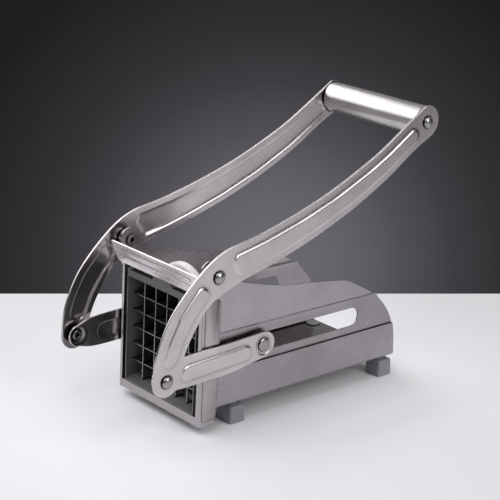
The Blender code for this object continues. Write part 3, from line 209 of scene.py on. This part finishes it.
# Posts and the raised panels on their sides. Margins: front, back, foot and head.
POST_OUTER = 0.0453
POST_FRONT = -0.0836
POST_BACK = -0.0681
POST_TOP = 0.101
POST_FLANGE_SHIFT = 0.0008
POST_PANEL_MARGINS = (0.0022, 0.0008, 0.0036, 0.0050)
POST_PANEL_RISE = 0.0005
POST_PANEL_SLOPE = 0.0004
POST_PANEL_CORNER = 0.0025
POST_PANEL_SHARES = ((0.35, 0.18), (0.80, 0.60), (1.0, 1.0))

# Cassette: guides outside the blades, and two slots above the rim with black strips in them,
# painted shade for the dark slots
GUIDE_INNER = 0.0380
GUIDE_SETBACK = 0.0040
BLADE_FRONT = -0.0782
CASSETTE_TOP = 0.0970
TOP_SLOT_SPAN = (0.0104, 0.0365)
TOP_SLOT_DEPTH = 0.0011
STEP_WIDTH = 0.00005
STRIP_SIDE_GAP = 0.0003
STRIP_END_GAP = 0.0006
STRIP_RISE = (-0.0004, 0.0002)

# Pusher bracket and its crown
PLATE_CORNERS = 12
CROWN_RADIUS = 0.0258
CROWN_DEPTH = 0.0044
CROWN_EDGE = 0.0024
CROWN_FOOT_HEIGHT = 0.0912
CROWN_STEPS = 48
CROWN_GRIP = 0.0003

# Feet
FOOT_EDGE_LENGTH = 0.005
FOOT_CORNER = 0.0028


def camera_axes():
    """The photograph's right, up and viewing directions."""
    ahead = Vector((
        -math.sin(CAMERA_YAW) * math.cos(CAMERA_PITCH),
        math.cos(CAMERA_YAW) * math.cos(CAMERA_PITCH),
        -math.sin(CAMERA_PITCH),
    ))
    level = Vector((math.cos(CAMERA_YAW), math.sin(CAMERA_YAW), 0))
    rise = level.cross(ahead)
    right = level * math.cos(CAMERA_ROLL) + rise * math.sin(CAMERA_ROLL)
    up = rise * math.cos(CAMERA_ROLL) - level * math.sin(CAMERA_ROLL)
    return right, up, ahead


def make_camera():
    camera = bpy.data.objects.new("camera", bpy.data.cameras.new("camera"))
    camera.data.sensor_width = SENSOR
    camera.data.lens = FOCAL_PIXELS * SENSOR / IMAGE_WIDTH
    camera.data.clip_start = CLIP_START
    camera.data.clip_end = CLIP_END
    right, up, ahead = camera_axes()
    turned = Matrix((right, up, -ahead)).transposed().to_4x4()
    turned.translation = CAMERA_PLACE
    camera.matrix_world = turned
    bpy.context.scene.collection.objects.link(camera)
    bpy.context.scene.camera = camera


class Nodes:
    """A small helper that adds shader nodes and joins them up."""

    def __init__(self, tree):
        self.tree = tree
        tree.nodes.clear()

    def link(self, source, target):
        self.tree.links.new(source, target)

    def fill(self, socket, value):
        if isinstance(value, bpy.types.NodeSocket):
            self.link(value, socket)
        else:
            socket.default_value = value

    def add(self, kind, values=None, **settings):
        node = self.tree.nodes.new("ShaderNode" + kind)
        for key, value in settings.items():
            setattr(node, key, value)
        for key, value in (values or {}).items():
            self.fill(node.inputs[key], value)
        return node

    def mix(self, share, first, second, kind="RGBA", blend="MIX"):
        node = self.tree.nodes.new("ShaderNodeMix")
        node.data_type = kind
        if kind == "RGBA":
            node.blend_type = blend
        sockets = [s for s in node.inputs if s.enabled]
        for socket, value in zip(sockets, (share, first, second)):
            self.fill(socket, value)
        return [s for s in node.outputs if s.enabled][0]

    def multiplied(self, colour, shade):
        return self.mix(1.0, colour, shade, blend="MULTIPLY")

    def ramp(self, source, stops):
        node = self.tree.nodes.new("ShaderNodeValToRGB")
        elements = node.color_ramp.elements
        while len(elements) < len(stops):
            elements.new(NEW_STOP)
        for element, (place, value) in zip(elements, stops):
            element.position = place
            grey = value if isinstance(value, tuple) else (value, value, value)
            element.color = (*grey, 1)
        self.link(source, node.inputs["Fac"])
        return node.outputs["Color"]

    def between(self, source, low, high, out_low=0.0, out_high=1.0):
        node = self.add("MapRange", {
            "Value": source, "From Min": low, "From Max": high,
            "To Min": out_low, "To Max": out_high,
        })
        return node.outputs["Result"]

    def noise(self, vector, scale, detail=2.0, roughness=0.5, distortion=0.0):
        node = self.add("TexNoise", {
            "Vector": vector, "Scale": scale, "Detail": detail,
            "Roughness": roughness, "Distortion": distortion,
        })
        return node.outputs["Fac"]

    def stretched(self, vector, scale):
        node = self.add("Mapping", {"Vector": vector, "Scale": scale})
        return node.outputs["Vector"]

    def dot(self, first, second):
        node = self.add("VectorMath", {0: first, 1: second}, operation="DOT_PRODUCT")
        return node.outputs["Value"]

    def height_of(self, vector):
        return self.add("SeparateXYZ", {"Vector": vector}).outputs["Z"]


def new_material(name):
    material = bpy.data.materials.new(name)
    material.use_nodes = True
    tree = Nodes(material.node_tree)
    output = tree.add("OutputMaterial")
    shader = tree.add("BsdfPrincipled")
    tree.link(shader.outputs["BSDF"], output.inputs["Surface"])
    place = tree.add("TexCoord").outputs["Object"]
    return material, tree, shader, place


def shaded(colour, gain, lift=0.0):
    """The colour times the gain, plus the lift, as a socket value."""
    return (*(min(c * gain + lift, 1) for c in colour), 1)


def edge_mask(tree, width):
    """1 along worn edges and 0 on flat faces."""
    worn = tree.add("Bevel", {"Radius": width}, samples=WORN_SAMPLES).outputs["Normal"]
    true = tree.add("NewGeometry").outputs["Normal"]
    return tree.between(tree.dot(worn, true), *WORN_MATCH)


def painted_crease_shade(tree, colour, darkest):
    """The colour, darkened by ambient occlusion in creases and close to touching pieces: painted
    shade.
    """
    occlusion = tree.add("AmbientOcclusion", {"Distance": CREASE_REACH}, samples=CREASE_SAMPLES)
    shade = tree.between(occlusion.outputs["AO"], *CREASE_OPENNESS, darkest, 1.0)
    return tree.multiplied(colour, shade)


def set_bump(tree, shader, height, strength, depth):
    bump = tree.add("Bump", {"Height": height, "Strength": strength, "Distance": depth})
    tree.link(bump.outputs["Normal"], shader.inputs["Normal"])


def steel(name, colour, roughness, grain, grain_depth, painted_light=None, crease=CREASE_SHADE):
    """Satin sheet steel: fine rolled grain, faint cloudy smudges, brighter rubbed edges, painted
    shade in creases and, where given, painted light from a height up.

    grain is how often the texture repeats along each axis, so its smallest value lies
    along the lines of the grain.
    """
    material, tree, shader, place = new_material(name)
    cloud = tree.noise(place, *STEEL_CLOUD)
    smudge = tree.noise(place, *STEEL_SMUDGE)
    lines = tree.noise(tree.stretched(place, grain), *STEEL_LINES)
    speck = tree.noise(place, *STEEL_SPECK)
    worn = edge_mask(tree, STEEL_EDGE)
    dark = shaded(colour, STEEL_DARK)
    base = tree.mix(tree.between(cloud, *STEEL_CLOUD_SPAN), dark, shaded(colour, STEEL_LIGHT))
    base = tree.mix(tree.between(lines, *NOISE_SPAN, 0.0, STEEL_LINES_MOST), base, dark)
    rubbed = shaded(colour, STEEL_RUBBED)
    base = tree.mix(tree.between(worn, 0, 1, 0, STEEL_RUBBED_MOST), base, rubbed)
    # Painted light: from the first height up the colour is brightened, for the brighter reflection
    # on the lip and the upper walls.
    if painted_light:
        low, high, most = painted_light
        base = tree.multiplied(base, tree.between(tree.height_of(place), low, high, 1.0, most))
    # Painted shade in creases and beside touching pieces.
    tree.link(painted_crease_shade(tree, base, crease), shader.inputs["Base Color"])
    smooth = roughness * (1 - STEEL_SPREAD)
    rough = tree.between(smudge, *NOISE_SPAN, smooth, roughness * (1 + STEEL_SPREAD))
    streak = tree.between(lines, *NOISE_SPAN, -STEEL_STREAK, STEEL_STREAK)
    rough = tree.add("Math", {0: rough, 1: streak}, operation="ADD").outputs["Value"]
    tree.link(rough, shader.inputs["Roughness"])
    shader.inputs["Metallic"].default_value = 1.0
    height = tree.mix(STEEL_SPECK_SHARE, lines, speck, "FLOAT")
    set_bump(tree, shader, height, STEEL_BUMP, grain_depth)
    return material


def plastic(name, colour, roughness, grain_depth=0.00003, sheen=0.45):
    """Moulded plastic: fine spark-eroded grain, faint flow marks and paler rubbed edges."""
    material, tree, shader, place = new_material(name)
    cloud = tree.noise(place, *PLASTIC_CLOUD)
    grain = tree.noise(place, *PLASTIC_GRAIN)
    pores = tree.add("TexVoronoi", {"Vector": place, "Scale": PLASTIC_PORES}).outputs["Distance"]
    flow = tree.noise(tree.stretched(place, PLASTIC_FLOW_STRETCH), *PLASTIC_FLOW)
    worn = edge_mask(tree, PLASTIC_EDGE)
    light = shaded(colour, PLASTIC_LIGHT)
    base = tree.mix(tree.between(cloud, *NOISE_SPAN), shaded(colour, PLASTIC_DARK), light)
    base = tree.mix(tree.between(flow, *PLASTIC_FLOW_SPAN, 0, PLASTIC_FLOW_MOST), base, light)
    rubbed = shaded(colour, PLASTIC_RUBBED, PLASTIC_RUBBED_LIFT)
    base = tree.mix(tree.between(worn, 0, 1, 0, PLASTIC_RUBBED_MOST), base, rubbed)
    tree.link(base, shader.inputs["Base Color"])
    smooth = roughness * (1 - PLASTIC_SPREAD)
    rough = tree.between(grain, *NOISE_SPAN, smooth, roughness * (1 + PLASTIC_SPREAD))
    tree.link(rough, shader.inputs["Roughness"])
    shader.inputs["Specular IOR Level"].default_value = sheen
    height = tree.mix(PLASTIC_PORE_SHARE, grain, pores, "FLOAT")
    set_bump(tree, shader, height, PLASTIC_BUMP, grain_depth)
    return material


def make_materials():
    materials = {name: steel(name, **look) for name, look in STEELS.items()}
    materials.update({name: plastic(name, **look) for name, look in PLASTICS.items()})
    return materials


def body_of(node):
    return next(body for body, members in BODIES.items() if node in members)


def slot_of(node):
    return NODES[node].data.materials[0].name.split(".")[0]


def box_of(node):
    piece = NODES[node]
    points = [piece.matrix_world @ v.co for v in piece.data.vertices]
    low = Vector(min(p[i] for p in points) for i in range(3))
    high = Vector(max(p[i] for p in points) for i in range(3))
    return low, high


def cut_at(bm, axis, places):
    """Adds edges where the mesh crosses the planes square to the axis."""
    normal = Vector(1.0 if i == axis else 0.0 for i in range(3))
    for place in places:
        geometry = bm.verts[:] + bm.edges[:] + bm.faces[:]
        bmesh.ops.bisect_plane(bm, geom=geometry, dist=CUT_WELD, plane_co=normal * place,
                               plane_no=normal)


def round_edges(bm, edges, radius, steps):
    bmesh.ops.bevel(bm, geom=edges, offset=radius, offset_type="OFFSET", segments=steps,
                    profile=ROUND_PROFILE, affect="EDGES", clamp_overlap=True)


def shape_wall(bm):
    """Makes the crease steeper, so that it draws a dark line along the wall."""
    upper = max(abs(v.co.x) for v in bm.verts)
    lower = max(abs(v.co.x) for v in bm.verts if v.co.z < WALL_LOWER_HALF)
    sheet = upper - lower - STEP_OVER_SHEET
    for v in bm.verts:
        outer = abs(abs(v.co.x) - lower) < ON_FACE
        inner = abs(abs(v.co.x) - (lower - sheet)) < INNER_FACE_SLACK
        if CREASE_FOOT[0] < v.co.z < CREASE_FOOT[1] and (outer or inner):
            v.co.z += CREASE_LIFT


def shape_frame(bm):
    """Narrows the post flanges, so that a dark gap opens beside the cassette."""
    edge = box_of("blade_cassette")[1].x
    for v in bm.verts:
        if GUIDE_INNER < abs(v.co.x) < edge and v.co.y < BLADE_FRONT - GUIDE_SETBACK:
            v.co.x += math.copysign(POST_FLANGE_SHIFT, v.co.x)


def shape_cassette(bm):
    """Sets the guides back and opens two slots above the rim, beside the finger grip."""
    low = box_of("blade_cassette")[0]
    for v in bm.verts:
        if abs(v.co.x) > GUIDE_INNER and low.y + STEP_WIDTH < v.co.y < BLADE_FRONT:
            v.co.y += GUIDE_SETBACK
    inner, outer = TOP_SLOT_SPAN
    places = [inner, inner + STEP_WIDTH, outer - STEP_WIDTH, outer]
    cut_at(bm, 0, places + [-place for place in places])
    floor = CASSETTE_TOP - TOP_SLOT_DEPTH
    for v in bm.verts:
        if inner + STEP_WIDTH / 2 < abs(v.co.x) < outer - STEP_WIDTH / 2:
            v.co.z = min(v.co.z, floor)
    bmesh.ops.remove_doubles(bm, verts=bm.verts, dist=WELD)


def shape_bracket(bm):
    """Splits the plates into small faces, so that they stay whole round their holes."""
    plates = [f for f in bm.faces if len(f.verts) > PLATE_CORNERS]
    bmesh.ops.triangulate(bm, faces=plates)


def shape_foot(bm):
    """Rounds the four upright edges of the block."""
    upright = []
    for e in bm.edges:
        length = e.calc_length()
        rise = abs(e.verts[0].co.z - e.verts[1].co.z)
        long_enough = length > FOOT_EDGE_LENGTH
        if long_enough and rise > UPRIGHT_SHARE * length and e.calc_face_angle(0) > HARD_TURN:
            upright.append(e)
    round_edges(bm, upright, FOOT_CORNER, CORNER_STEPS)


# How pieces are refined, by the start of their names. The others take refine's own values.
REFINEMENTS = (
    (("lever_arm", "link_arm"), {"edge": 0.0005, "edge_steps": 3, "slope": 0.0006}),
    (("front_frame",), {
        "edge": 0.0003, "slope": 0.0003, "shape": shape_frame, "finish": "frame_steel",
    }),
    (("side_wall",), {
        "edge": 0.0003, "edge_steps": 3, "slope": 0.0003, "shape": shape_wall,
        "finish": "wall_steel",
    }),
    (("base_tray",), {"finish": "wall_steel"}),
    (("blade_cassette",), {"edge": 0.0004, "shape": shape_cassette}),
    (("pusher_bracket",), {"shape": shape_bracket}),
    (("foot",), {"edge": 0.0009, "edge_steps": 4, "shape": shape_foot}),
    (("upright_blade", "level_blade"), {"edge": 0.0001, "edge_steps": 1}),
)


def new_piece(name, bm, material):
    """An object from the mesh, with smooth faces and sharp edges."""
    mesh = bpy.data.meshes.new(name)
    bm.to_mesh(mesh)
    bm.free()
    mesh.shade_smooth()
    mesh.set_sharp_from_angle(angle=SHARP_TURN)
    mesh.materials.append(material)
    piece = bpy.data.objects.new(name, mesh)
    bpy.context.scene.collection.objects.link(piece)
    return piece


def refine(node, materials, edge=0.00025, edge_steps=2, slope=0.0, shape=None, finish=None):
    """A copy of a CAD node whose edges are rounded, which stands for the node.

    Edges that turn by more than HARD_TURN get the edge radius. Of the gentler ones the
    shoulder of a stamped panel gets the slope radius, if there is one, and its foot stays
    sharp, so that it draws a line.
    """
    bm = bmesh.new()
    bm.from_mesh(NODES[node].data)
    for layer in list(bm.loops.layers.float_vector.values()):
        bm.loops.layers.float_vector.remove(layer)
    bmesh.ops.remove_doubles(bm, verts=bm.verts, dist=WELD)
    bmesh.ops.dissolve_limit(bm, angle_limit=FLAT_TURN, verts=bm.verts, edges=bm.edges)
    if shape:
        shape(bm)
    bmesh.ops.recalc_face_normals(bm, faces=bm.faces)
    if slope:
        soft = [e for e in bm.edges if len(e.link_faces) == 2 and e.is_convex
                and SOFT_TURN < e.calc_face_angle(0) < SOFT_TURN_END]
        round_edges(bm, soft, slope, SLOPE_STEPS)
    hard = [e for e in bm.edges if len(e.link_faces) == 2 and e.calc_face_angle(0) > HARD_TURN]
    round_edges(bm, hard, edge, edge_steps)
    piece = new_piece(node + "_dressed", bm, materials[finish or slot_of(node)])
    weighted = piece.modifiers.new("even_normals", "WEIGHTED_NORMAL")
    weighted.keep_sharp = True
    weighted.weight = NORMAL_WEIGHT
    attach(piece, body_of(node))
    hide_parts(node)
    return piece


def add_detail(name, bm, node, material):
    """A further piece that rides with a node's body, in the material it is given."""
    bmesh.ops.recalc_face_normals(bm, faces=bm.faces)
    piece = new_piece(name, bm, material)
    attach(piece, body_of(node))
    return piece


def rounded_loop(low, high, corner):
    """Points round a rectangle with rounded corners, as (first, second) pairs."""
    corners = ((high[0], high[1]), (low[0], high[1]), (low[0], low[1]), (high[0], low[1]))
    points = []
    for i, (u, v) in enumerate(corners):
        centre_u = u - math.copysign(corner, u - (low[0] + high[0]) / 2)
        centre_v = v - math.copysign(corner, v - (low[1] + high[1]) / 2)
        for j in range(CORNER_STEPS + 1):
            turn = (i + j / CORNER_STEPS) * math.pi / 2
            points.append((centre_u + corner * math.cos(turn), centre_v + corner * math.sin(turn)))
    return points


def stack(loops):
    """A closed mesh through loops of equal length, capped at both ends."""
    bm = bmesh.new()
    rings = [[bm.verts.new(point) for point in loop] for loop in loops]
    count = len(rings[0])
    for first, second in zip(rings, rings[1:]):
        for i in range(count):
            j = (i + 1) % count
            bm.faces.new((first[i], first[j], second[j], second[i]))
    bm.faces.new(rings[0])
    bm.faces.new(rings[-1])
    return bm


def make_post_panels(materials):
    """The raised stamped panel on the side of each front post."""
    low = box_of("front_frame")[0]
    front, back, foot, head = POST_PANEL_MARGINS
    low_corner = (POST_FRONT + front, low.z + foot)
    high_corner = (POST_BACK - back, POST_TOP - head)
    levels = [(-POST_PANEL_RISE, 0.0), (0.0, 0.0)]
    for rise_share, slope_share in POST_PANEL_SHARES:
        levels.append((POST_PANEL_RISE * rise_share, POST_PANEL_SLOPE * slope_share))
    for name, side in SIDES:
        loops = []
        for rise, inset in levels:
            loop = rounded_loop(
                (low_corner[0] + inset, low_corner[1] + inset),
                (high_corner[0] - inset, high_corner[1] - inset),
                POST_PANEL_CORNER - inset,
            )
            loops.append([(side * (POST_OUTER + rise), u, v) for u, v in loop])
        add_detail(f"post_panel_{name}", stack(loops), "front_frame", materials["frame_steel"])


def make_slot_shade_strips(materials):
    """Black strips laid in the two slots above the cassette's rim: painted shade, where the slots
    are dark.
    """
    low, high = box_of("blade_cassette")
    floor = CASSETTE_TOP - TOP_SLOT_DEPTH
    inner = TOP_SLOT_SPAN[0] + STRIP_SIDE_GAP
    outer = TOP_SLOT_SPAN[1] - STRIP_SIDE_GAP
    front = low.y + STRIP_END_GAP
    back = high.y - STRIP_END_GAP
    corners = ((inner, front), (outer, front), (outer, back), (inner, back))
    for name, side in SIDES:
        loops = [[(side * u, v, floor + rise) for u, v in corners] for rise in STRIP_RISE]
        add_detail(f"slot_shade_strip_{name}", stack(loops), "blade_cassette", materials["slot_shade_black"])


def make_crown(materials):
    """The thick round cap on the pusher bracket, of which the top shows behind the lip."""
    low, high = box_of("pusher_bracket")
    centre = high.z - CROWN_RADIUS
    levels = [(CROWN_GRIP, 0.0), (CROWN_EDGE - CROWN_DEPTH, 0.0)]
    for i in range(1, CORNER_STEPS + 1):
        turn = i / CORNER_STEPS * math.pi / 2
        levels.append((
            CROWN_EDGE - CROWN_DEPTH - CROWN_EDGE * math.sin(turn),
            CROWN_EDGE * (1 - math.cos(turn)),
        ))
    loops = []
    for place, inset in levels:
        radius = CROWN_RADIUS - inset
        reach = math.acos((CROWN_FOOT_HEIGHT - centre) / radius)
        turns = [reach * (1 - 2 * j / CROWN_STEPS) for j in range(CROWN_STEPS + 1)]
        loops.append([
            (radius * math.sin(turn), low.y + place, centre + radius * math.cos(turn))
            for turn in turns
        ])
    add_detail("pusher_crown", stack(loops), "pusher_bracket", materials["matte_steel"])


def make_table():
    heading = math.atan2(TABLE_EDGE_RUN[1], TABLE_EDGE_RUN[0])
    along = Vector((math.cos(heading), math.sin(heading), 0))
    toward = Vector((along.y, -along.x, 0))
    middle = TABLE_EDGE_POINT + Vector((0, 0, -TABLE_DROP))
    left = middle - along * TABLE_WIDTH / 2
    right = middle + along * TABLE_WIDTH / 2
    corners = [left, right, right + toward * TABLE_DEPTH, left + toward * TABLE_DEPTH]
    mesh = bpy.data.meshes.new("table")
    mesh.from_pydata([tuple(c) for c in corners], [], [(0, 1, 2, 3)])
    table = bpy.data.objects.new("table", mesh)
    bpy.context.scene.collection.objects.link(table)
    material, tree, shader, place = new_material("table")
    cloud = tree.noise(place, *TABLE_CLOUD)
    pale = tree.mix(tree.between(cloud, *NOISE_SPAN), *TABLE_COLOURS)
    # Painted light: the table's colour darkens away from the object, as the pool of light round it
    # fades.
    reach = tree.add("VectorMath", {0: place}, operation="LENGTH").outputs["Value"]
    shade = tree.ramp(tree.between(reach, 0, TABLE_REACH), TABLE_SHADES)
    tree.link(tree.multiplied(pale, shade), shader.inputs["Base Color"])
    shader.inputs["Roughness"].default_value = TABLE_ROUGHNESS
    mesh.materials.append(material)


def make_world():
    """A dark backdrop with a glow for the camera, and soft room light for everything else."""
    world = bpy.data.worlds.new("studio")
    bpy.context.scene.world = world
    world.use_nodes = True
    tree = Nodes(world.node_tree)
    output = tree.add("OutputWorld")
    direction = tree.add("TexCoord").outputs["Generated"]
    right, up, ahead = camera_axes()
    across, down = (place - IMAGE_WIDTH / 2 for place in GLOW_PLACE)
    middle = (ahead * FOCAL_PIXELS + right * across - up * down).normalized()
    wall = tree.ramp(tree.between(tree.dot(direction, middle), *GLOW_SPAN), GLOW_SHADES)
    room = tree.ramp(tree.between(tree.height_of(direction), *ROOM_SPAN), ROOM_SHADES)
    shown = tree.add("Background", {"Color": wall, "Strength": 1.0})
    light = tree.add("Background", {"Color": room, "Strength": 1.0})
    path = tree.add("LightPath")
    mixed = tree.add("MixShader", {0: path.outputs["Is Camera Ray"]})
    tree.link(light.outputs["Background"], mixed.inputs[1])
    tree.link(shown.outputs["Background"], mixed.inputs[2])
    tree.link(mixed.outputs["Shader"], output.inputs["Surface"])


def make_lamps():
    for name, place, size, radiance in LAMPS:
        lamp = bpy.data.lights.new(name, "AREA")
        lamp.shape = "RECTANGLE"
        lamp.size, lamp.size_y = size
        lamp.energy = radiance * math.pi * size[0] * size[1]
        holder = bpy.data.objects.new(name, lamp)
        bpy.context.scene.collection.objects.link(holder)
        holder.location = place
        aim = LAMP_TARGET - Vector(place)
        holder.rotation_euler = aim.to_track_quat("-Z", "Y").to_euler()


def main():
    bpy.context.scene.view_settings.view_transform = "Standard"
    make_camera()
    make_table()
    make_world()
    make_lamps()
    materials = make_materials()
    for node in sorted(NODES):
        found = (options for names, options in REFINEMENTS if node.startswith(names))
        refine(node, materials, **next(found, {}))
    make_post_panels(materials)
    make_slot_shade_strips(materials)
    make_crown(materials)


main()
